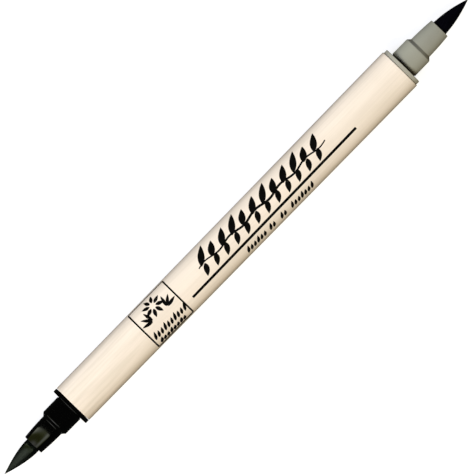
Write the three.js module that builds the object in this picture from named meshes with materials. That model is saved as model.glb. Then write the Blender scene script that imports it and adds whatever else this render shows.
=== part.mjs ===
// A double-ended calligraphy marker, lying on its side with both caps pulled off and left in line with it.
// Each end has a brush tip with its own ink: a dark one and a light tint of it. The barrel's divider keeps the inks apart.
//
// Units are millimetres, +Z is up, and the marker's axis runs along X: the dark end points to -X, the light end to +X.
// The origin is on the surface that the marker lies on, below the middle of the barrel.
//
// Both ends are the same mouldings, so an end's pieces are drawn once, in an end frame: Y runs outward along the
// marker's axis from the shoulder, the face that a cap's rim stops against. Every piece is turned about that axis.

import * as THREE from "three";

// Barrel: a moulded tube that widens a little towards the light end, as its mould's draft needs.
const SHOULDER_X = 57.3; // from mid-length to either shoulder
const FLANGE_THICKNESS = 1.03;
const LIGHT_GAP = 0.02; // between the barrel's end and the flange
const DARK_GAP = 0.13; // the dark section isn't pushed right home
const BARREL_LIGHT_END = SHOULDER_X - FLANGE_THICKNESS - LIGHT_GAP;
const BARREL_DARK_END = -(SHOULDER_X - FLANGE_THICKNESS - DARK_GAP);
const BARREL_RADIUS_DARK = 5.46;
const BARREL_RADIUS_LIGHT = 5.71;
const BARREL_BORE = 4.6;
const BARREL_CHAMFER = 0.2;
const DIVIDER_HALF = 1.2;
const DIVIDER_RADIUS = BARREL_BORE - 0.08;
const END_GAP = 0.1; // between pieces that are pushed up to each other

// Section: the moulding that holds the brush and carries the cap.
const FLANGE_RADIUS = 5.44;
const SEAT_RADIUS = 3.8;
const SEAT_END = 5.12;
const RELIEF_WIDTH = 0.2; // groove between the flange and the cap's seat
const RELIEF_RADIUS = 3.58;
const NOSE_RADIUS = 3.045;
const NOSE_START = 5.97;
const NOSE_CURVE = 66; // the nose narrows along one gentle curve of this radius, from its start to its mouth
const NOSE_CURVE_START = 6.26;
const NOSE_RINGS = 5;
const MOUTH = 12.54;
const TAIL_END = -11;
const TAIL_RADIUS = 4.45;
const SEAL_RIB_RADIUS = 4.54;
const SEAL_RIB_WIDTH = 0.7;
const SEAL_RIBS = [-3.2, -8.6]; // each rib's inner side
const TAIL_CUP = -4.2; // the tail opens into a cup behind this
const TAIL_CUP_RADIUS = 3.7;
const BRUSH_BORE = 2.16;
const ROOT_BORE = 2.5;
const ROOT_STOP = 9.4; // step inside the nose that the brush root is pushed up to

// Brush: a bundle of fine filaments fused into a root. The tip bends about the mouth of the nose.
const BRUSH_RADIUS = 2.03;
const BRUSH_LENGTH = 9.86;
const BRUSH_POWER = 1.72; // the tip's outline is radius = BRUSH_RADIUS * (1 - (s / BRUSH_LENGTH) ** BRUSH_POWER)
const BRUSH_POINT_RADIUS = 0.06;
const BRUSH_RINGS = 12;
const BRUSH_BALL_RINGS = 4;
const ROOT_RADIUS = 2.4;
const ROOT_BACK = 3.1;

// Ink path behind the brush.
const CORE_RADIUS = 1;
const CORE_BORE = 1.1;
const CORE_FRONT = 9;
const CORE_BACK = -17;
const CORE_TAPER = 0.8;
const BUSH_FRONT = 2.9;
const BUSH_BACK = -3.6;
const BUSH_FLANGE_RADIUS = 3.5;
const BUSH_FLANGE = 0.9;
const RESERVOIR_FRONT = -11.3;
const RESERVOIR_BACK = -55.4;
const RESERVOIR_RADIUS = 4.12;
const RESERVOIR_BORE_DEPTH = 6.4;
const SLEEVE_BORE = 4.22;
const SLEEVE_RADIUS = 4.42;

// Cap: an outer shell that slides over the seat, with a softer liner inside that seals round the nose.
const CAP_LENGTH = 25.6;
const CAP_RADIUS = BARREL_RADIUS_LIGHT; // so a pulled-off cap lies on the same surface as the barrel
const CAP_END_RADIUS = 5.5;
const CAP_ROUND = 0.9;
const CAP_ROUND_BULGE = CAP_ROUND * 0.3; // how far the corner stands out from a plain chamfer
const CAP_BORE = 3.94;
const CAP_END_WALL = 1.5;
const LINER_RIM = 6.25;
const LINER_RADIUS = 3.86;
const LINER_BORE = 3.14;
const LINER_END_WALL = 0.7;
const CAP_OFF_X = 86; // from mid-length to a pulled-off cap's rim

const OUTER_FACETS = 36;
const INNER_FACETS = 24;
const AXIS_HEIGHT = BARREL_RADIUS_LIGHT * Math.cos(Math.PI / OUTER_FACETS);

function plastic(color, roughness) {
  return new THREE.MeshStandardMaterial({ color, roughness, metalness: 0 });
}

const IVORY = plastic(0xf4e8d4, 0.35);
const WHITE_PLASTIC = plastic(0xe9e9e4, 0.5);
const FILM = plastic(0xdfe3e6, 0.2);
const CORE_FELT = plastic(0xd8d4c8, 0.9);
const ENDS = [
  {
    name: "dark",
    direction: -1,
    moulding: plastic(0x0b0b0c, 0.25),
    brush: plastic(0x23272a, 0.6),
    ink: plastic(0x101114, 0.9),
  },
  {
    name: "light",
    direction: 1,
    moulding: plastic(0x9b9b8e, 0.45),
    brush: plastic(0x08080c, 0.6),
    ink: plastic(0x4a4c50, 0.9),
  },
];

// A piece turned about Y from [radius, y] points. A facet, not an edge, faces each way across the axis.
function turned(name, profile, material, facets = INNER_FACETS) {
  const points = profile.map(([radius, y]) => new THREE.Vector2(radius, y));
  const geometry = new THREE.LatheGeometry(points, facets, Math.PI / facets);
  const mesh = new THREE.Mesh(geometry, material);
  mesh.name = name;
  return mesh;
}

// The profile of a round bar, or of a tube when it has a bore.
function bar(radius, back, front, bore = 0) {
  const outside = [[bore, back], [radius, back], [radius, front], [bore, front]];
  return bore > 0 ? [...outside, [bore, back]] : outside;
}

function barrel() {
  const profile = [
    [BARREL_BORE, BARREL_DARK_END],
    [BARREL_RADIUS_DARK - BARREL_CHAMFER, BARREL_DARK_END],
    [BARREL_RADIUS_DARK, BARREL_DARK_END + BARREL_CHAMFER],
    [BARREL_RADIUS_LIGHT, BARREL_LIGHT_END - BARREL_CHAMFER],
    [BARREL_RADIUS_LIGHT - BARREL_CHAMFER, BARREL_LIGHT_END],
    [BARREL_BORE, BARREL_LIGHT_END],
    [BARREL_BORE, BARREL_DARK_END],
  ];
  return turned("barrel", profile, IVORY, OUTER_FACETS);
}

function dividerPlug() {
  return turned("divider_plug", bar(DIVIDER_RADIUS, -DIVIDER_HALF, DIVIDER_HALF), WHITE_PLASTIC);
}

function noseRadius(y) {
  return NOSE_RADIUS - (y - NOSE_CURVE_START) ** 2 / (2 * NOSE_CURVE);
}

function section(end) {
  const ribs = SEAL_RIBS.toSorted((a, b) => a - b).flatMap((y) => [
    [TAIL_RADIUS, y],
    [SEAL_RIB_RADIUS, y + SEAL_RIB_WIDTH / 3],
    [SEAL_RIB_RADIUS, y + (SEAL_RIB_WIDTH * 2) / 3],
    [TAIL_RADIUS, y + SEAL_RIB_WIDTH],
  ]);
  const nose = Array.from({ length: NOSE_RINGS }, (_, i) => {
    const y = NOSE_CURVE_START + ((MOUTH - NOSE_CURVE_START) * (i + 1)) / NOSE_RINGS;
    return [noseRadius(y), y];
  });
  const profile = [
    [TAIL_CUP_RADIUS, TAIL_END],
    [TAIL_RADIUS, TAIL_END],
    ...ribs,
    [TAIL_RADIUS, -FLANGE_THICKNESS],
    [FLANGE_RADIUS, -FLANGE_THICKNESS],
    [FLANGE_RADIUS, 0],
    [RELIEF_RADIUS, 0],
    [RELIEF_RADIUS, RELIEF_WIDTH],
    [SEAT_RADIUS, RELIEF_WIDTH],
    [SEAT_RADIUS, SEAT_END],
    [NOSE_RADIUS, NOSE_START],
    ...nose,
    [BRUSH_BORE, MOUTH],
    [BRUSH_BORE, ROOT_STOP],
    [ROOT_BORE, ROOT_STOP],
    [ROOT_BORE, TAIL_CUP],
    [TAIL_CUP_RADIUS, TAIL_CUP],
    [TAIL_CUP_RADIUS, TAIL_END],
  ];
  return turned(`${end.name}_section`, profile, end.moulding, OUTER_FACETS);
}

// The part of the brush that bends: a half ball inside the mouth, then the pointed bundle.
function brushTip(end) {
  const ball = Array.from({ length: BRUSH_BALL_RINGS }, (_, i) => {
    const angle = (i / BRUSH_BALL_RINGS) * (Math.PI / 2);
    return [BRUSH_RADIUS * Math.sin(angle), MOUTH - BRUSH_RADIUS * Math.cos(angle)];
  });
  const bundle = Array.from({ length: BRUSH_RINGS + 1 }, (_, i) => {
    const share = i / BRUSH_RINGS;
    const radius = BRUSH_RADIUS * (1 - share ** BRUSH_POWER);
    return [Math.max(radius, BRUSH_POINT_RADIUS), MOUTH + share * BRUSH_LENGTH];
  });
  const profile = [...ball, ...bundle, [0, MOUTH + BRUSH_LENGTH]];
  return turned(`${end.name}_brush_tip`, profile, end.brush);
}

function brushRoot(end) {
  return turned(`${end.name}_brush_root`, bar(ROOT_RADIUS, ROOT_BACK, ROOT_STOP - END_GAP, CORE_BORE), end.brush);
}

// The felt rod that draws ink from the reservoir into the brush.
function feedCore(end) {
  const profile = [
    [0, CORE_BACK],
    [CORE_RADIUS - CORE_TAPER / 2, CORE_BACK],
    [CORE_RADIUS, CORE_BACK + CORE_TAPER],
    [CORE_RADIUS, CORE_FRONT],
    [0, CORE_FRONT],
  ];
  return turned(`${end.name}_feed_core`, profile, CORE_FELT);
}

// The bush that is pressed in behind the brush root: it holds the root in place and centres the feed core.
function coreBush(end) {
  const flangeFront = TAIL_CUP - END_GAP;
  const profile = [
    [CORE_BORE, flangeFront - BUSH_FLANGE],
    [BUSH_FLANGE_RADIUS, flangeFront - BUSH_FLANGE],
    [BUSH_FLANGE_RADIUS, flangeFront],
    [ROOT_RADIUS, flangeFront],
    [ROOT_RADIUS, BUSH_FRONT],
    [CORE_BORE, BUSH_FRONT],
    [CORE_BORE, flangeFront - BUSH_FLANGE],
  ];
  return turned(`${end.name}_core_bush`, profile, WHITE_PLASTIC);
}

function reservoir(end) {
  const boreEnd = RESERVOIR_FRONT - RESERVOIR_BORE_DEPTH;
  const profile = [
    [0, RESERVOIR_BACK],
    [RESERVOIR_RADIUS, RESERVOIR_BACK],
    [RESERVOIR_RADIUS, RESERVOIR_FRONT],
    [CORE_BORE, RESERVOIR_FRONT],
    [CORE_BORE, boreEnd],
    [0, boreEnd],
  ];
  return turned(`${end.name}_reservoir`, profile, end.ink);
}

function reservoirSleeve(end) {
  const profile = bar(SLEEVE_RADIUS, RESERVOIR_BACK, RESERVOIR_FRONT, SLEEVE_BORE);
  return turned(`${end.name}_reservoir_sleeve`, profile, FILM);
}

// The cap and its liner are drawn with the cap's rim at zero.
function cap(end) {
  const boreEnd = CAP_LENGTH - CAP_END_WALL;
  const profile = [
    [CAP_BORE, 0],
    [CAP_RADIUS, 0],
    [CAP_END_RADIUS, CAP_LENGTH - CAP_ROUND],
    [CAP_END_RADIUS - CAP_ROUND_BULGE, CAP_LENGTH - CAP_ROUND_BULGE],
    [CAP_END_RADIUS - CAP_ROUND, CAP_LENGTH],
    [0, CAP_LENGTH],
    [0, boreEnd],
    [CAP_BORE, boreEnd],
    [CAP_BORE, 0],
  ];
  return turned(`${end.name}_cap`, closedAtAxis(profile), end.moulding, OUTER_FACETS);
}

function capLiner(end) {
  const outsideEnd = CAP_LENGTH - CAP_END_WALL - END_GAP;
  const profile = [
    [LINER_BORE, LINER_RIM],
    [LINER_RADIUS, LINER_RIM],
    [LINER_RADIUS, outsideEnd],
    [0, outsideEnd],
    [0, outsideEnd - LINER_END_WALL],
    [LINER_BORE, outsideEnd - LINER_END_WALL],
    [LINER_BORE, LINER_RIM],
  ];
  return turned(`${end.name}_cap_liner`, closedAtAxis(profile), WHITE_PLASTIC);
}

// A cup's profile drawn rim first, turned round so that it starts and ends on the axis.
function closedAtAxis(profile) {
  const insideStart = profile.findLastIndex(([radius]) => radius === 0);
  return [...profile.slice(insideStart), ...profile.slice(1, insideStart)];
}

function oneEnd(end) {
  const fixed = new THREE.Group();
  const makers = [section, brushTip, brushRoot, feedCore, coreBush, reservoir, reservoirSleeve];
  fixed.add(...makers.map((make) => make(end)));
  fixed.position.x = end.direction * SHOULDER_X;

  const pulledOff = new THREE.Group();
  pulledOff.add(cap(end), capLiner(end));
  pulledOff.position.x = end.direction * CAP_OFF_X;

  for (const group of [fixed, pulledOff]) group.rotation.z = (-end.direction * Math.PI) / 2;
  return [fixed, pulledOff];
}

function marker() {
  const tube = new THREE.Group();
  tube.add(barrel(), dividerPlug());
  tube.rotation.z = -Math.PI / 2;

  const whole = new THREE.Group();
  whole.add(tube, ...ENDS.flatMap(oneEnd));
  whole.position.z = AXIS_HEIGHT;
  return whole;
}

export default marker();
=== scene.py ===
import math
import random

import bmesh
import bpy
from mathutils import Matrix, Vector

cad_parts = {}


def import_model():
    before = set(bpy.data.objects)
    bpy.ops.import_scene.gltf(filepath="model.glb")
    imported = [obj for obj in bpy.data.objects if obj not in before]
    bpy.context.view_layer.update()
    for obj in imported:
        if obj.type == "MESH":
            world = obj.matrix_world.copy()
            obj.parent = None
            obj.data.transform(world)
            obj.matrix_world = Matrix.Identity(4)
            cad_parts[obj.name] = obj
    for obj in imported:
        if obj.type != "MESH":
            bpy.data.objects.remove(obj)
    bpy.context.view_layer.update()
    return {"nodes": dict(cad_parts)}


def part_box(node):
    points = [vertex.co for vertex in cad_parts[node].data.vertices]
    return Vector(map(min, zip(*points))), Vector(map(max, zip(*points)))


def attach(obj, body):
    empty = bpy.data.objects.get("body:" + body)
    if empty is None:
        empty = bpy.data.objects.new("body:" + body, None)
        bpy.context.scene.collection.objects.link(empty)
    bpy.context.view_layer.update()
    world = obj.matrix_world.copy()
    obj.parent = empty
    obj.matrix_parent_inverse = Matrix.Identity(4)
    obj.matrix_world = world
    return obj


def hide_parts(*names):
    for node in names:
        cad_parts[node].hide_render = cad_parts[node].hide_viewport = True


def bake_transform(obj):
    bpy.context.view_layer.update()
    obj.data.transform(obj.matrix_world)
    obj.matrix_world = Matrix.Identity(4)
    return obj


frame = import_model()

# A double-ended calligraphy marker with both caps pulled off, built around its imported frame.
#
# Lengths are millimetres until a mesh is made. An end's pieces are drawn in an end frame: y runs outward
# along the marker's axis from the shoulder, the face that a cap's rim stops against. A cap's y runs outward
# from its rim.

MM = 0.001
AXIS_HEIGHT = sum(corner.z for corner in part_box("barrel")) / 2 / MM
SEGMENTS = 160  # faces round a turned piece, other than a brush
ARC_STEP = math.radians(12)  # the widest step round a fillet
ARC_CHORD = 0.2  # the longest step along a fillet
SUPPORT = 0.02  # how far beside a fillet the flat faces start, which keeps their shading flat
SMOOTH_BELOW = 35  # degrees between two faces: a wider edge is sharp
ON_AXIS = 1e-6  # a ring narrower than this is a single point

BARREL_START, BARREL_END = (corner.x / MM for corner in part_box("barrel"))
BARREL_RADIUS_DARK = 5.46
BARREL_RADIUS_LIGHT = 5.71
BARREL_BORE = 4.6

MOUTH = 12.54  # the y of the nose's open end
SHOULDER_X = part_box("light_section")[1].x / MM - MOUTH
CAP_OFF_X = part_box("light_cap")[0].x / MM

TAIL_END = -11.0
TAIL_RADIUS = 4.45
TAIL_BORE = 3.7
RIB_RADIUS = 4.54
FLANGE_RADIUS = 5.44
FLANGE_BACK = -1.03
GROOVE_RADIUS = 3.58
GROOVE_WIDTH = 0.2
SEAT_RADIUS = 3.8
BRUSH_BORE = 2.16
BRUSH_BORE_END = 9.4
ROOT_BORE = 2.5
ROOT_BORE_END = -4.2
NOSE_CURVE = 66  # the nose narrows along one long gentle curve of this radius
RIM_FROM = 5.0  # the section's only faces further from the axis than this are the flange's rim
NOSE_FROM = 5.9  # the nose starts this far from the shoulder, at the foot of the chamfer

BRUSH_RADIUS = 2.0
BRUSH_LENGTH = 9.86
BRUSH_FLUTES = 84
FLUTE_STEPS = 6  # faces across each flute
BEND_REACH = 1.2  # where a bend would end, in brush lengths from the mouth; nothing bends the brush

CAP_LENGTH = 25.6
CAP_RADIUS = 5.71
CAP_BORE = 3.94
CAP_BEAD = 3.86
LINER_BORE = 3.14
LINER_RADIUS = 3.86
LINER_MOUTH = 6.25


# ---------------------------------------------------------------- outlines and solids

def rounded(corners, closed=False):
    """An outline whose (radius, y, fillet) corners are turned into arcs of that fillet."""
    outline = []
    for i, (radius, y, fillet) in enumerate(corners):
        here = Vector((radius, y))
        at_end = not closed and i in (0, len(corners) - 1)
        if fillet == 0 or at_end:
            outline.append(here)
            continue
        before = (Vector(corners[i - 1][:2]) - here).normalized()
        after = (Vector(corners[(i + 1) % len(corners)][:2]) - here).normalized()
        half = before.angle(after) / 2
        centre = here + (before + after).normalized() * fillet / math.sin(half)
        start = here + before * fillet / math.tan(half) - centre
        sweep = math.pi - 2 * half
        turn = 1 if before.cross(after) < 0 else -1
        steps = max(2, math.ceil(sweep / ARC_STEP), math.ceil(sweep * fillet / ARC_CHORD))
        outline.append(centre + start + before * SUPPORT)
        for k in range(steps + 1):
            angle = turn * sweep * k / steps
            spoke = Vector((
                start.x * math.cos(angle) - start.y * math.sin(angle),
                start.x * math.sin(angle) + start.y * math.cos(angle),
            ))
            outline.append(centre + spoke)
        outline.append(outline[-1] + after * SUPPORT)
    return outline


def on_axis(x, radius, angle):
    """The point at this radius about the marker's axis. Angle 0 is straight up and turns towards +Y."""
    return Vector((x, radius * math.sin(angle), AXIS_HEIGHT + radius * math.cos(angle))) * MM


def make_object(name, maker):
    """Turns a bmesh into an object whose gentle edges are smooth and whose corners are sharp."""
    bmesh.ops.recalc_face_normals(maker, faces=maker.faces)
    mesh = bpy.data.meshes.new(name)
    maker.to_mesh(mesh)
    maker.free()
    mesh.shade_smooth()
    mesh.set_sharp_from_angle(angle=math.radians(SMOOTH_BELOW))
    made = bpy.data.objects.new(name, mesh)
    bpy.context.scene.collection.objects.link(made)
    return made


def join_rings(maker, first, second):
    """Faces between two rings of points. A ring of one point is a pole."""
    count = max(len(first), len(second))
    for k in range(count):
        after = (k + 1) % count
        corners = [first[k % len(first)], first[after % len(first)]]
        corners += [second[after % len(second)], second[k % len(second)]]
        maker.faces.new(list(dict.fromkeys(corners)))


def turned(name, outline, place, closed=False, flute=None):
    """A solid turned about the marker's axis from (radius, y) points. place gives the X of a y.
    flute, if there is one, gives the share of the radius that the surface sinks at an angle and a y."""
    maker = bmesh.new()
    rings = []
    segments = BRUSH_FLUTES * FLUTE_STEPS if flute else SEGMENTS
    for radius, y in outline:
        if radius < ON_AXIS:
            rings.append([maker.verts.new(on_axis(place(y), 0, 0))])
            continue
        ring = []
        for k in range(segments):
            angle = 2 * math.pi * k / segments
            sunk = flute(angle, y) if flute else 0
            ring.append(maker.verts.new(on_axis(place(y), radius * (1 - sunk), angle)))
        rings.append(ring)
    for first, second in zip(rings, rings[1:]):
        join_rings(maker, first, second)
    if closed:
        join_rings(maker, rings[-1], rings[0])
    return make_object(name, maker)


# ---------------------------------------------------------------- materials

NOISE_RANGE = (0.35, 0.65)  # most of a noise pattern's values lie between these two


def new_material(name, **sockets):
    """A material, its node tree and its shader, with the shader's uniform values set on its sockets."""
    material = bpy.data.materials.new(name)
    material.use_nodes = True
    shader = material.node_tree.nodes["Principled BSDF"]
    for socket, value in sockets.items():
        shader.inputs[socket.replace("_", " ")].default_value = value
    return material, material.node_tree, shader


def noise(tree, scale, stretch=(1, 1, 1), detail=3):
    """A noise pattern fixed to the object, with this many features per metre."""
    place = tree.nodes.new("ShaderNodeTexCoord")
    scaled = tree.nodes.new("ShaderNodeMapping")
    scaled.inputs["Scale"].default_value = stretch
    tree.links.new(place.outputs["Object"], scaled.inputs["Vector"])
    pattern = tree.nodes.new("ShaderNodeTexNoise")
    pattern.inputs["Scale"].default_value = scale
    pattern.inputs["Detail"].default_value = detail
    tree.links.new(scaled.outputs["Vector"], pattern.inputs["Vector"])
    return pattern.outputs["Fac"]


def ramp(tree, pattern, low, high):
    """Runs from low to high as the pattern rises. Low and high are both numbers or both colours."""
    grades = tree.nodes.new("ShaderNodeValToRGB")
    for element, place, value in zip(grades.color_ramp.elements, NOISE_RANGE, (low, high)):
        element.position = place
        element.color = (*value, 1) if isinstance(value, tuple) else (value, value, value, 1)
    tree.links.new(pattern, grades.inputs["Fac"])
    return grades.outputs["Color"]


def bump(tree, shader, height, distance, strength):
    """Raises the surface by up to this many millimetres."""
    bumps = tree.nodes.new("ShaderNodeBump")
    bumps.inputs["Strength"].default_value = strength
    bumps.inputs["Distance"].default_value = distance * MM
    tree.links.new(height, bumps.inputs["Height"])
    tree.links.new(bumps.outputs["Normal"], shader.inputs["Normal"])


def share_along(tree, start, end):
    """Rises from 0 to 1 as X goes from start to end, in millimetres."""
    place = tree.nodes.new("ShaderNodeTexCoord")
    split = tree.nodes.new("ShaderNodeSeparateXYZ")
    tree.links.new(place.outputs["Object"], split.inputs["Vector"])
    reach = tree.nodes.new("ShaderNodeMapRange")
    reach.inputs["From Min"].default_value = start * MM
    reach.inputs["From Max"].default_value = end * MM
    tree.links.new(split.outputs["X"], reach.inputs["Value"])
    return reach.outputs["Result"]


def blended(tree, first, second, share):
    """A pattern that is partly the first and partly the second. The second's share is a number or a
    pattern."""
    mix = tree.nodes.new("ShaderNodeMix")
    mix.data_type = "FLOAT"
    if isinstance(share, float):
        mix.inputs["Factor"].default_value = share
    else:
        tree.links.new(share, mix.inputs["Factor"])
    tree.links.new(first, mix.inputs["A"])
    tree.links.new(second, mix.inputs["B"])
    return mix.outputs["Result"]


def moulded_plastic(name, dark, light, roughness, grain=0.004, specular=0.5):
    """Injection-moulded plastic: slow shifts of colour, fine grain, and a polish broken by faint rubbed
    lines."""
    material, tree, shader = new_material(name, Specular_IOR_Level=specular)
    flow = noise(tree, 90, stretch=(0.35, 1, 1), detail=4)
    tree.links.new(ramp(tree, flow, dark, light), shader.inputs["Base Color"])
    rubbed = noise(tree, 2600, stretch=(1, 0.05, 0.05), detail=2)
    polish = blended(tree, noise(tree, 700, detail=2), rubbed, 0.4)
    tree.links.new(ramp(tree, polish, roughness * 0.82, roughness * 1.2), shader.inputs["Roughness"])
    bump(tree, shader, noise(tree, 5000, detail=2), distance=grain, strength=0.6)
    return material


def drawn_tube_plastic(name, dark, light):
    """Lacquered tube, drawn out along the marker: fine long lines, broad soft mottling and a clear coat.
    Broader lines show more and more towards the dark end."""
    material, tree, shader = new_material(
        name, Specular_IOR_Level=0.5, Coat_Weight=1.0, Coat_Roughness=0.14)
    mottling = noise(tree, 130, stretch=(0.4, 1, 1), detail=5)
    drawn = noise(tree, 3200, stretch=(0.018, 1, 1), detail=3)
    broad_lines = noise(tree, 1000, stretch=(0.06, 1, 1), detail=2)
    even_tone = blended(tree, mottling, drawn, 0.45)
    tone = blended(tree, even_tone, broad_lines, share_along(tree, start=5, end=-45))
    tree.links.new(ramp(tree, tone, dark, light), shader.inputs["Base Color"])
    tree.links.new(ramp(tree, drawn, 0.3, 0.42), shader.inputs["Roughness"])
    bump(tree, shader, blended(tree, drawn, noise(tree, 260, detail=2), 0.3), distance=0.006, strength=0.7)
    return material


def brush_fibre(name, dark, light, shine):
    """Ink-soaked filaments: fine streaks and soft clumps, wet enough to shine in the ink's own tint."""
    material, tree, shader = new_material(name, Specular_IOR_Level=0.42, Specular_Tint=(*shine, 1))
    streaks = noise(tree, 5200, stretch=(0.06, 1, 1), detail=3)
    clumps = noise(tree, 900, stretch=(0.3, 1, 1), detail=3)
    soaked = blended(tree, streaks, clumps, 0.5)
    tree.links.new(ramp(tree, soaked, dark, light), shader.inputs["Base Color"])
    tree.links.new(ramp(tree, clumps, 0.1, 0.22), shader.inputs["Roughness"])
    bump(tree, shader, soaked, distance=0.012, strength=0.6)
    return material


def fibrous(name, dark, light, scale=3000, along=0.08):
    """Pressed felt or soaked reservoir fibre, drawn out along the marker."""
    material, tree, shader = new_material(name, Specular_IOR_Level=0.3, Sheen_Weight=0.2)
    strands = noise(tree, scale, stretch=(along, 1, 1), detail=5)
    tree.links.new(ramp(tree, strands, dark, light), shader.inputs["Base Color"])
    tree.links.new(ramp(tree, strands, 0.8, 0.95), shader.inputs["Roughness"])
    bump(tree, shader, strands, distance=0.06, strength=0.9)
    return material


def clear_film(name):
    """Thin clear film with faint draw lines."""
    material, tree, shader = new_material(name, Transmission_Weight=0.85, IOR=1.45, Alpha=0.6)
    lines = noise(tree, 2500, stretch=(0.02, 1, 1))
    tree.links.new(ramp(tree, lines, (0.86, 0.89, 0.9), (0.93, 0.95, 0.96)), shader.inputs["Base Color"])
    tree.links.new(ramp(tree, lines, 0.08, 0.2), shader.inputs["Roughness"])
    return material


def printed_ink(name, dark, light):
    """Screen-printed ink, slightly uneven in cover."""
    material, tree, shader = new_material(name, Specular_IOR_Level=0.08)
    cover = noise(tree, 1800, detail=4)
    tree.links.new(ramp(tree, cover, dark, light), shader.inputs["Base Color"])
    tree.links.new(ramp(tree, cover, 0.35, 0.5), shader.inputs["Roughness"])
    bump(tree, shader, noise(tree, 6000), distance=0.003, strength=0.5)
    return material


IVORY = drawn_tube_plastic("ivory_plastic", (0.78, 0.69, 0.607), (0.885, 0.784, 0.705))
BLACK = moulded_plastic(
    "black_plastic", (0.0002, 0.0002, 0.0002), (0.0004, 0.0004, 0.0004), roughness=0.06, grain=0.001)
BLACK_SATIN = moulded_plastic(
    "black_satin_plastic", (0.003, 0.003, 0.0032), (0.005, 0.005, 0.0054), roughness=0.3)
GREY = moulded_plastic(
    "grey_plastic", (0.273, 0.275, 0.24), (0.292, 0.294, 0.257), roughness=0.42, specular=0.2)
# A lighter copy of the grey for the flange's rim: painted light, for the brighter light the rim catches.
GREY_PAINTED_LIT_RIM = moulded_plastic(
    "grey_plastic_painted_lit_rim", (0.335, 0.327, 0.286), (0.356, 0.348, 0.305), roughness=0.5, specular=0.2)
# A slightly darker copy of the grey, for the nose.
GREY_NOSE = moulded_plastic(
    "grey_plastic_darker_nose", (0.246, 0.248, 0.219), (0.264, 0.266, 0.234), roughness=0.42, specular=0.2)
WHITE = moulded_plastic("white_plastic", (0.66, 0.66, 0.63), (0.74, 0.74, 0.71), roughness=0.45)
DARK_BRUSH = brush_fibre(
    "dark_brush_fibre", (0.0006, 0.0009, 0.0007), (0.002, 0.003, 0.0024), shine=(0.86, 1.0, 0.8))
LIGHT_BRUSH = brush_fibre(
    "light_brush_fibre", (0.0006, 0.0006, 0.0016), (0.0014, 0.0013, 0.003), shine=(0.8, 0.8, 1.0))
FELT = fibrous("core_felt", (0.46, 0.44, 0.39), (0.62, 0.6, 0.54), scale=4000, along=0.2)
DARK_INK_FIBRE = fibrous("dark_ink_fibre", (0.008, 0.008, 0.01), (0.03, 0.03, 0.036))
LIGHT_INK_FIBRE = fibrous("light_ink_fibre", (0.08, 0.08, 0.09), (0.16, 0.16, 0.18))
FILM = clear_film("clear_film")
PRINT = printed_ink("printed_ink", (0.0008, 0.0008, 0.0008), (0.0022, 0.002, 0.002))

# What differs between the two ends. neck is the share by which a brush narrows at the mouth of its nose.
ENDS = {
    "dark": {
        "direction": -1,
        "moulding": BLACK,
        "rim": BLACK,
        "nose": BLACK,
        "cap": BLACK_SATIN,
        "brush": DARK_BRUSH,
        "neck": 0.03,
        "ink": DARK_INK_FIBRE,
    },
    "light": {
        "direction": 1,
        "moulding": GREY,
        "rim": GREY_PAINTED_LIT_RIM,
        "nose": GREY_NOSE,
        "cap": GREY,
        "brush": LIGHT_BRUSH,
        "neck": -0.04,
        "ink": LIGHT_INK_FIBRE,
    },
}


def dress(piece, material):
    """Gives a piece its material."""
    piece.data.materials.clear()
    piece.data.materials.append(material)


# ---------------------------------------------------------------- the marker's own pieces

def from_shoulder(look):
    """The X of a y in this end's frame."""
    return lambda y: look["direction"] * (SHOULDER_X + y)


def from_cap_rim(look):
    """The X of a y that starts at the pulled-off cap's rim."""
    return lambda y: look["direction"] * (CAP_OFF_X + y)


def barrel():
    """The ivory tube."""
    corners = [
        (BARREL_BORE, BARREL_START, 0.1),
        (BARREL_RADIUS_DARK, BARREL_START, 0.1),
        (BARREL_RADIUS_LIGHT, BARREL_END, 0.22),
        (BARREL_BORE, BARREL_END, 0.1),
    ]
    piece = turned("barrel_tube", rounded(corners, closed=True), lambda y: y, closed=True)
    dress(piece, IVORY)
    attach(piece, "marker")
    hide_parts("barrel")


def rib(start):
    """A sealing rib on the section's tail."""
    return [
        (TAIL_RADIUS, start, 0.08),
        (RIB_RADIUS, start + 0.25, 0.1),
        (RIB_RADIUS, start + 0.5, 0.1),
        (TAIL_RADIUS, start + 0.7, 0.08),
    ]


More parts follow.
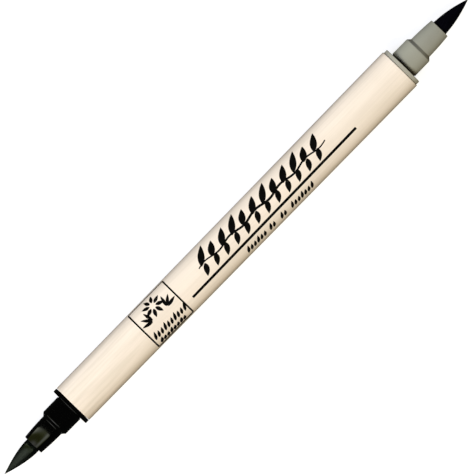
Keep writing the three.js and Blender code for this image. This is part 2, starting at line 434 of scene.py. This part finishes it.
def section(end, look):
    """The moulding that holds the brush: tail, flange, cap seat, shoulder and nose. At the light end its
    flange rim is a lighter copy of the grey, which paints brighter light on the rim, and its nose is a
    slightly darker grey."""
    tail = [(TAIL_BORE, TAIL_END, 0.08), (TAIL_RADIUS, TAIL_END, 0.15), *rib(-8.6), *rib(-3.2)]
    flange = [
        (TAIL_RADIUS, FLANGE_BACK, 0.05),
        (FLANGE_RADIUS, FLANGE_BACK, 0.06),
        (FLANGE_RADIUS, 0, 0.15),
    ]
    groove = [(GROOVE_RADIUS, 0, 0.04), (GROOVE_RADIUS, GROOVE_WIDTH, 0.04)]
    seat = [(SEAT_RADIUS, GROOVE_WIDTH, 0.04), (SEAT_RADIUS - 0.02, 5.14, 0.34)]
    nose = [(3.045, 5.92, 0.22), (3.02, 9.2, NOSE_CURVE), (2.71, MOUTH, 0.12)]
    bores = [
        (BRUSH_BORE, MOUTH, 0.1),
        (BRUSH_BORE, BRUSH_BORE_END, 0.05),
        (ROOT_BORE, BRUSH_BORE_END, 0.05),
        (ROOT_BORE, ROOT_BORE_END, 0.05),
        (TAIL_BORE, ROOT_BORE_END, 0.05),
    ]
    corners = tail + flange + groove + seat + nose + bores
    outline = rounded(corners, closed=True)
    piece = turned(f"{end}_section_moulding", outline, from_shoulder(look), closed=True)
    dress(piece, look["moulding"])
    finishes = piece.data.materials
    rim_slot, nose_slot = len(finishes), len(finishes) + 1
    finishes.append(look["rim"])
    finishes.append(look["nose"])
    # Rim faces take the rim's colour, which at the light end is a painted highlight. Nose faces take the
    # nose's colour.
    for face in piece.data.polygons:
        beside = Vector((face.center.y / MM, face.center.z / MM - AXIS_HEIGHT))
        if beside.length > RIM_FROM:
            face.material_index = rim_slot
        elif abs(face.center.x) / MM > SHOULDER_X + NOSE_FROM:
            face.material_index = nose_slot
    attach(piece, "marker")
    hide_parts(f"{end}_section")


def groove_painted_shade(end, look):
    """A dark ring in the groove beside the flange: painted shade, standing in for the flange's shadow
    there. It reaches a little way into the plastic, and stays clear of the groove's sides."""
    inner, outer = GROOVE_RADIUS - 0.02, GROOVE_RADIUS + 0.04
    near, far = 0.02, GROOVE_WIDTH - 0.02
    outline = [(inner, near), (outer, near), (outer, far), (inner, far)]
    piece = turned(f"{end}_groove_painted_shade", outline, from_shoulder(look), closed=True)
    # The print's near-black ink paints the shade in the groove here; there is no dried ink.
    piece.data.materials.append(PRINT)
    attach(piece, "marker")


def brush_tip(end, look, seed):
    """The soft brush: filaments that run together to a point."""
    dice = random.Random(seed)
    depths = [dice.uniform(0.35, 1.0) for _ in range(BRUSH_FLUTES)]
    drift = [dice.uniform(-0.8, 0.8) for _ in range(BRUSH_FLUTES)]
    root_y, root_radius, root_taper = MOUTH - 1.6, 1.4, 0.8
    neck_length = 1.2
    wander = 0.12  # how far a flute strays sideways, in flutes
    narrowness = 1.5
    bluntness = 1.75  # 1 would make the brush a straight cone
    mouth_depth, point_depth = 0.003, 0.028  # the deepest flute, as a share of the radius
    rings = 48

    def flute(angle, y):
        share = max(0.0, (y - MOUTH) / BRUSH_LENGTH)
        turn = angle / (2 * math.pi) * BRUSH_FLUTES
        which = int(turn) % BRUSH_FLUTES
        across = turn - int(turn) + wander * drift[which] * math.sin(3 * share + which)
        groove = (1 - abs(math.sin(math.pi * across))) ** narrowness
        return groove * depths[which] * (mouth_depth + (point_depth - mouth_depth) * share)

    def radius(share):
        neck = max(0.0, 1 - share * BRUSH_LENGTH / neck_length)
        return BRUSH_RADIUS * (1 - share ** bluntness) * (1 - look["neck"] * neck ** 2)

    outline = [(0.0, root_y), (root_radius, root_y), (radius(0), root_y + root_taper)]
    outline += [(radius(k / rings), MOUTH + k / rings * BRUSH_LENGTH) for k in range(rings)]
    outline.append((0.0, MOUTH + BRUSH_LENGTH))
    place = from_shoulder(look)
    piece = turned(f"{end}_brush_filaments", outline, place, flute=flute)
    dress(piece, look["brush"])
    mouth_x, bend_end = place(MOUTH), place(MOUTH + BRUSH_LENGTH * BEND_REACH)
    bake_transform(piece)
    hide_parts(f"{end}_brush_tip")


def cap(end, look):
    """The pulled-off cap's shell, with a lead-in and a snap bead in its mouth, and a dimple in its end."""
    bore = [
        (0, 24.1, 0),
        (CAP_BORE, 24.1, 0.5),
        (CAP_BORE, 2.9, 0.05),
        (CAP_BEAD, 2.6, 0.08),
        (CAP_BEAD, 2.35, 0.08),
        (CAP_BORE, 2.05, 0.05),
        (CAP_BORE, 0.4, 0.08),
        (4.12, 0, 0.08),
    ]
    outside = [(CAP_RADIUS, 0, 0.2), (CAP_RADIUS - 0.21, CAP_LENGTH, 0.9)]
    dimple_floor = CAP_LENGTH - 0.25
    dimple = [(1.1, CAP_LENGTH, 0.12), (0.9, dimple_floor, 0.12), (0, dimple_floor, 0)]
    piece = turned(f"{end}_cap_shell", rounded(bore + outside + dimple), from_cap_rim(look))
    dress(piece, look["cap"])
    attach(piece, f"{end}_cap")
    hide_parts(f"{end}_cap")


def cap_liner(end, look):
    """The softer cup deep inside the cap, which seals round the nose."""
    corners = [
        (0, 23.3, 0),
        (LINER_BORE, 23.3, 0.8),
        (LINER_BORE, LINER_MOUTH, 0.12),
        (LINER_RADIUS, LINER_MOUTH, 0.15),
        (LINER_RADIUS, 24.0, 0.5),
        (0, 24.0, 0),
    ]
    piece = turned(f"{end}_cap_seal_liner", rounded(corners), from_cap_rim(look))
    dress(piece, WHITE)
    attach(piece, f"{end}_cap")
    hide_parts(f"{end}_cap_liner")


def inner_pieces():
    """The CAD nodes inside the marker keep their shape and get their materials."""
    dressed = {"divider_plug": (WHITE, "white_plastic")}
    for end, look in ENDS.items():
        dressed[f"{end}_brush_root"] = (look["brush"], f"{end}_brush")
        dressed[f"{end}_feed_core"] = (FELT, "core_felt")
        dressed[f"{end}_core_bush"] = (WHITE, "white_plastic")
        dressed[f"{end}_reservoir"] = (look["ink"], f"{end}_ink_fibre")
        dressed[f"{end}_reservoir_sleeve"] = (FILM, "clear_film")
    for node, (material, slot) in dressed.items():
        dress(frame["nodes"][node], material)


# ---------------------------------------------------------------- print on the barrel

PRINT_PROUD = 0.015
PRINT_SUNK = 0.01
PRINT_COLUMNS = 4  # faces across a stroke
FINEST_STROKE = 0.02


def barrel_radius(x):
    """The barrel's own radius here, since it widens a little towards the light end."""
    share = (x - BARREL_START) / (BARREL_END - BARREL_START)
    return BARREL_RADIUS_DARK + (BARREL_RADIUS_LIGHT - BARREL_RADIUS_DARK) * share


def stroke(maker, path, widths):
    """Lays one stroke of ink on the barrel. path holds (x, v) points: x along the marker, and v round the
    barrel from its top towards +Y. widths holds the stroke's full width at each point."""
    rings = []
    for i, (x, v) in enumerate(path):
        ahead = Vector(path[min(i + 1, len(path) - 1)]) - Vector(path[max(i - 1, 0)])
        side = Vector((-ahead.y, ahead.x)).normalized() * max(widths[i], FINEST_STROKE) / 2
        top, under = [], []
        for k in range(PRINT_COLUMNS + 1):
            spot = Vector((x, v)) + side * (1 - 2 * k / PRINT_COLUMNS)
            radius = barrel_radius(spot.x)
            top.append(maker.verts.new(on_axis(spot.x, radius + PRINT_PROUD, spot.y / radius)))
            under.append(maker.verts.new(on_axis(spot.x, radius - PRINT_SUNK, spot.y / radius)))
        rings.append(top + under[::-1])
    for first, second in zip(rings, rings[1:]):
        join_rings(maker, first, second)
    for ring in (rings[0], rings[-1]):
        for k in range(PRINT_COLUMNS):
            maker.faces.new((ring[k], ring[k + 1], ring[-2 - k], ring[-1 - k]))


def print_piece(name, strokes):
    """One piece of print, made of all these strokes."""
    maker = bmesh.new()
    for path, widths in strokes:
        stroke(maker, path, widths)
    piece = make_object(name, maker)
    piece.data.materials.append(PRINT)
    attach(piece, "marker")


def line(start, end, width):
    """A straight stroke of one width."""
    longest_step = 0.3
    start, end = Vector(start), Vector(end)
    count = max(2, math.ceil((end - start).length / longest_step))
    path = [start.lerp(end, k / count) for k in range(count + 1)]
    return path, [width] * len(path)


def leaf(base, length, angle, width, curl=0.25, points=18):
    """A brush stroke that swells from a fine start and runs out to a point, bending as it goes. It is
    widest a little before its middle."""
    path, widths = [], []
    place = Vector(base)
    for k in range(points + 1):
        share = k / points
        heading = math.radians(angle) + curl * (share - 0.5)
        path.append(place)
        widths.append(width * math.sin(math.pi * share ** 0.8) ** 0.9)
        place = place + Vector((math.cos(heading), math.sin(heading))) * length / points
    return path, widths


def wave(x_start, x_end, level, height, waves, width):
    """A stem that sways along the marker."""
    points = 160
    path, widths = [], []
    for k in range(points + 1):
        share = k / points
        sway = height * math.sin(2 * math.pi * waves * share)
        path.append((x_start + (x_end - x_start) * share, level + sway))
        widths.append(width * (0.5 + 0.5 * math.sin(math.pi * share)))
    return path, widths


def tick_row(start_x, pitch, count, level, height, width):
    """A row of small slanted brush marks, every third one taller."""
    slant = 68
    marks = []
    for k in range(count):
        tall = height * (1.0 if k % 3 else 1.25)
        marks.append(leaf((start_x + pitch * k, level), tall, slant, width, curl=0.1, points=10))
    return marks


def rays(centre, inner, length, width, angles):
    """Leaf-shaped strokes that point away from a centre, at these angles in degrees."""
    strokes = []
    for angle in angles:
        heading = Vector((math.cos(math.radians(angle)), math.sin(math.radians(angle))))
        strokes.append(leaf(Vector(centre) + heading * inner, length, angle, width, curl=0.0))
    return strokes


PANEL_LEFT, PANEL_RIGHT, PANEL_REACH = -31.8, -20.1, 6.75
LOWER_LINE = 0.66  # the frame's lower line is broader, because the barrel turns it away from the eye
PANEL_LINE = 0.42
BLOSSOM = (-25.95, 2.9)


def panel_print():
    """A framed panel with a blossom between two sprays of leaves, over two rows of small marks."""
    corners = [
        (PANEL_LEFT, -PANEL_REACH),
        (PANEL_LEFT, PANEL_REACH),
        (PANEL_RIGHT, PANEL_REACH),
        (PANEL_RIGHT, -PANEL_REACH),
    ]
    sides = [line(corners[-1], corners[0], LOWER_LINE)]
    sides += [line(first, second, PANEL_LINE) for first, second in zip(corners, corners[1:])]
    print_piece("print_panel_frame", sides)
    petals = rays(BLOSSOM, inner=0.8, length=2.2, width=0.96, angles=range(22, 382, 45))
    print_piece("print_blossom_petals", petals)
    for side, name in ((-1, "left"), (1, "right")):
        stem = (BLOSSOM[0] + side * 2.3, BLOSSOM[1] - 2.9)
        outward = 90 - side * 45
        angles = (outward - 33, outward, outward + 33)
        print_piece(f"print_{name}_leaves", rays(stem, inner=0.3, length=3.0, width=0.82, angles=angles))
    upper = tick_row(start_x=-31.1, pitch=1.1, count=10, level=-4.1, height=2.0, width=0.78)
    print_piece("print_panel_marks_upper", upper)
    lower = tick_row(start_x=-30.5, pitch=1.1, count=8, level=-6.3, height=1.7, width=0.95)
    print_piece("print_panel_marks_lower", lower)


def rule_print():
    """The long line under the sprig, which rises slightly towards the light end."""
    print_piece("print_rule", [line((-17.7, -2.84), (38.7, -2.37), width=0.7)])


def sprig_print():
    """A brushed sprig: a swaying stem, with slanted leaves above and below it."""
    strokes = [wave(-11.8, 31.4, level=1.0, height=0.35, waves=5, width=0.6)]
    upper_lengths = (5.8, 4.1, 4.9)
    for k in range(12):
        x = -11.0 + 3.5 * k
        strokes.append(leaf((x, 0.9), upper_lengths[k % 3], angle=54, width=1.8))
        strokes.append(leaf((x + 1.2, 1.0), 3.3, angle=-122, width=1.42, curl=-0.3))
    print_piece("print_sprig", strokes)


def small_print():
    """One line of small marks, in groups."""
    marks = []
    for start_x, count in ((-0.6, 6), (7.0, 2), (10.8, 2), (14.4, 7)):
        marks += tick_row(start_x, pitch=1.12, count=count, level=-6.0, height=2.0, width=0.85)
    print_piece("print_small_marks", marks)


# ---------------------------------------------------------------- studio

LAMP_DISTANCE = 20000  # far enough to light the marker evenly from end to end
SHEET_RADIUS = 5000
DARK_NOSE_X = -66  # the glow sheets are centred here, on the piece that mirrors them most clearly
OLIVE = Vector((0.92, 1.0, 0.28))
PALE = Vector((0.95, 1.0, 0.8))
NEARLY_WHITE = Vector((1.0, 1.0, 0.98))
NEAR_PART_ENDS, FAR_PART_STARTS = 10, 13  # tilts of the arched softbox


def toward(turn, tilt):
    """The direction at this turn about the marker's axis, from straight up towards +Y, and at this tilt
    towards -X."""
    turn, tilt = math.radians(turn), math.radians(tilt)
    return Vector((-math.sin(tilt), math.sin(turn) * math.cos(tilt), math.cos(turn) * math.cos(tilt)))


def far_lamp(name, turn, tilt, across, along, radiance, colour):
    """A rectangular lamp of this radiance that faces the marker and leaves no mirror image on its gloss. It
    spans across degrees of turn and along degrees of tilt."""
    light = bpy.data.lights.new(name, "AREA")
    light.shape = "RECTANGLE"
    light.size = 2 * LAMP_DISTANCE * math.tan(math.radians(along) / 2) * MM
    light.size_y = 2 * LAMP_DISTANCE * math.tan(math.radians(across) / 2) * MM
    light.energy = radiance * math.pi * light.size * light.size_y
    light.color = colour
    lamp = bpy.data.objects.new(name, light)
    bpy.context.scene.collection.objects.link(lamp)
    lamp.location = toward(turn, tilt) * LAMP_DISTANCE * MM
    lamp.rotation_mode = "QUATERNION"
    lamp.rotation_quaternion = (-toward(turn, tilt)).to_track_quat("-Z", "Y")
    lamp.visible_camera = False
    lamp.visible_glossy = False


def daylight():
    """Light that shapes the marker: a warm and a cool key lamp nearly overhead, a fill low on the +Y side
    and a weak warm fill on the -Y side."""
    far_lamp("warm_key", turn=-18, tilt=27, across=18, along=24, radiance=21.8, colour=(1.0, 0.94, 0.71))
    far_lamp("cool_key", turn=16, tilt=27, across=18, along=24, radiance=13.4, colour=(0.85, 0.9, 1.1))
    far_lamp("side_fill", turn=84, tilt=25, across=9, along=40, radiance=17.5, colour=(0.97, 1.0, 0.9))
    far_lamp("warm_fill", turn=-45, tilt=10, across=20, along=40, radiance=0.4, colour=(1.0, 0.6, 0.1))


def fade(value, start, end):
    """Rises smoothly from 0 at start to 1 at end, and stays there."""
    share = min(1.0, max(0.0, (value - start) / (end - start)))
    return share * share * (3 - 2 * share)


def hill(value, middle, width):
    """Rises smoothly to 1 at its middle and falls off again over about this width."""
    return math.exp(-((value - middle) / width) ** 2)


def arch_glow(turn, tilt):
    """How bright the arched softbox is at this turn and tilt. Its near part is dim in the middle, brighter
    along its low edge and towards its upper corner. Its far part has one soft hot spot."""
    low_edge = 1.4 * hill(turn, middle=-37, width=13)
    toward_corner = max(turn, 0) / 84
    near_edge = fade(tilt, 8.2, 5.2) * (0.5 + 1.9 * toward_corner ** 2)
    near = 0.3 + low_edge + near_edge
    far = 0.32 + 1.17 * hill(turn, middle=10, width=38)
    glow = near + (far - near) * fade(tilt, NEAR_PART_ENDS, FAR_PART_STARTS)
    return glow * fade(turn, -60, -50) * fade(turn, 92, 86)


def end_glow(turn, tilt):
    """A dim, even sheet off the light end, which only the pulled-off caps mirror."""
    return 0.45 * fade(turn, -75, -45) * fade(turn, 75, 45) * fade(tilt, -48, -58)


def empty_material(name):
    """A material with no nodes yet, and its node tree."""
    material = bpy.data.materials.new(name)
    material.use_nodes = True
    material.node_tree.nodes.clear()
    return material, material.node_tree


def show(tree, surface):
    """Makes this shader the material's surface."""
    out = tree.nodes.new("ShaderNodeOutputMaterial")
    tree.links.new(surface, out.inputs["Surface"])


def seen_and_lighting(tree, seen, lighting):
    """The camera sees the first shader, and the second one lights the marker."""
    path = tree.nodes.new("ShaderNodeLightPath")
    mix = tree.nodes.new("ShaderNodeMixShader")
    tree.links.new(path.outputs["Is Camera Ray"], mix.inputs["Fac"])
    tree.links.new(lighting, mix.inputs[1])
    tree.links.new(seen, mix.inputs[2])
    return mix.outputs["Shader"]


def glow_material(name):
    """Gives off the light that is stored at each point of the mesh."""
    material, tree = empty_material(name)
    look_up = tree.nodes.new("ShaderNodeAttribute")
    look_up.attribute_name = "glow"
    emission = tree.nodes.new("ShaderNodeEmission")
    tree.links.new(look_up.outputs["Color"], emission.inputs["Color"])
    show(tree, emission.outputs["Emission"])
    return material


def glow_sheet(name, turns, tilts, glow):
    """A softbox bent over the marker, seen only as the mirror image on its gloss. glow gives its radiance
    at each turn and tilt. Dim places glow olive and bright ones pale, and the far part is nearly white."""
    maker = bmesh.new()
    centre = Vector((DARK_NOSE_X, 0, AXIS_HEIGHT))
    colours = []
    rings = []
    for tilt in tilts:
        ring = []
        for turn in turns:
            ring.append(maker.verts.new((toward(turn, tilt) * SHEET_RADIUS + centre) * MM))
            radiance = glow(turn, tilt)
            tint = OLIVE.lerp(PALE, fade(radiance, 0.3, 1.2))
            tint = tint.lerp(NEARLY_WHITE, fade(abs(tilt), NEAR_PART_ENDS, FAR_PART_STARTS))
            colours.append(tint * radiance)
        rings.append(ring)
    for first, second in zip(rings, rings[1:]):
        for k in range(len(turns) - 1):
            maker.faces.new((first[k], first[k + 1], second[k + 1], second[k]))
    piece = make_object(name, maker)
    shades = piece.data.color_attributes.new("glow", "FLOAT_COLOR", "POINT")
    for shade, colour in zip(shades.data, colours):
        shade.color = (*colour, 1)
    piece.data.materials.append(glow_material(name))
    piece.visible_camera = False
    piece.visible_diffuse = False
    piece.visible_shadow = False


def gloss_softboxes():
    near_tilts = [4.6 + 0.5 * k for k in range(21)]
    far_tilts = list(range(15, 76, 5))
    glow_sheet("arched_softbox", range(-62, 95, 3), near_tilts + far_tilts, arch_glow)
    glow_sheet("end_softbox", range(-75, 76, 6), range(-48, -81, -4), end_glow)


def floor():
    """A pale floor. The camera sees it bright, with soft shadows. The marker gets only a little warm light
    back from it, as it does on a small stand in a dark studio."""
    maker = bmesh.new()
    half_width = 4  # metres
    bmesh.ops.create_grid(maker, x_segments=8, y_segments=8, size=half_width)
    piece = make_object("studio_floor", maker)
    material, tree = empty_material("floor_paper")
    grain = noise(tree, 60, detail=4)
    paper = tree.nodes.new("ShaderNodeBsdfDiffuse")
    tree.links.new(ramp(tree, grain, (0.29, 0.29, 0.29), (0.31, 0.31, 0.31)), paper.inputs["Color"])
    glow = tree.nodes.new("ShaderNodeEmission")
    glow.inputs["Color"].default_value = (0.82, 0.82, 0.82, 1)
    seen = tree.nodes.new("ShaderNodeAddShader")
    tree.links.new(paper.outputs["BSDF"], seen.inputs[0])
    tree.links.new(glow.outputs["Emission"], seen.inputs[1])
    bounce = tree.nodes.new("ShaderNodeBsdfDiffuse")
    bounce.inputs["Color"].default_value = (0.25, 0.19, 0.13, 1)
    show(tree, seen_and_lighting(tree, seen.outputs["Shader"], bounce.outputs["BSDF"]))
    piece.data.materials.append(material)
    piece.visible_glossy = False


def world(ambient):
    """Dim all round, so that black plastic stays black, but pale where the camera sees past the floor."""
    sky = bpy.data.worlds.new("studio")
    bpy.context.scene.world = sky
    sky.use_nodes = True
    tree = sky.node_tree
    dim = tree.nodes["Background"]
    dim.inputs["Color"].default_value = (1, 1, 1, 1)
    dim.inputs["Strength"].default_value = ambient
    pale = tree.nodes.new("ShaderNodeBackground")
    pale.inputs["Color"].default_value = (0.94, 0.94, 0.94, 1)
    sky_shader = seen_and_lighting(tree, pale.outputs["Background"], dim.outputs["Background"])
    tree.links.new(sky_shader, tree.nodes["World Output"].inputs["Surface"])


def camera():
    """Looks straight down through a long lens, turned so that the marker runs from lower left to upper
    right."""
    width_seen = 113.76
    middle_x, middle_y = 0.03, -0.19
    turned_by = 45.70
    lens = bpy.data.cameras.new("camera")
    lens.lens = 1200
    lens.sensor_width = 36
    lens.clip_start = 0.01
    lens.clip_end = 20
    distance = lens.lens * width_seen / lens.sensor_width
    eye = bpy.data.objects.new("camera", lens)
    bpy.context.scene.collection.objects.link(eye)
    eye.location = Vector((middle_x, middle_y, AXIS_HEIGHT + distance)) * MM
    eye.rotation_euler = (0, 0, -math.radians(turned_by))
    bpy.context.scene.camera = eye


camera()
floor()
world(ambient=0.02)
daylight()
gloss_softboxes()
bpy.context.scene.view_settings.view_transform = "Standard"

barrel()
for number, (end, look) in enumerate(ENDS.items()):
    section(end, look)
    groove_painted_shade(end, look)
    brush_tip(end, look, seed=number + 1)
    cap(end, look)
    cap_liner(end, look)
inner_pieces()
panel_print()
rule_print()
sprig_print()
small_print()
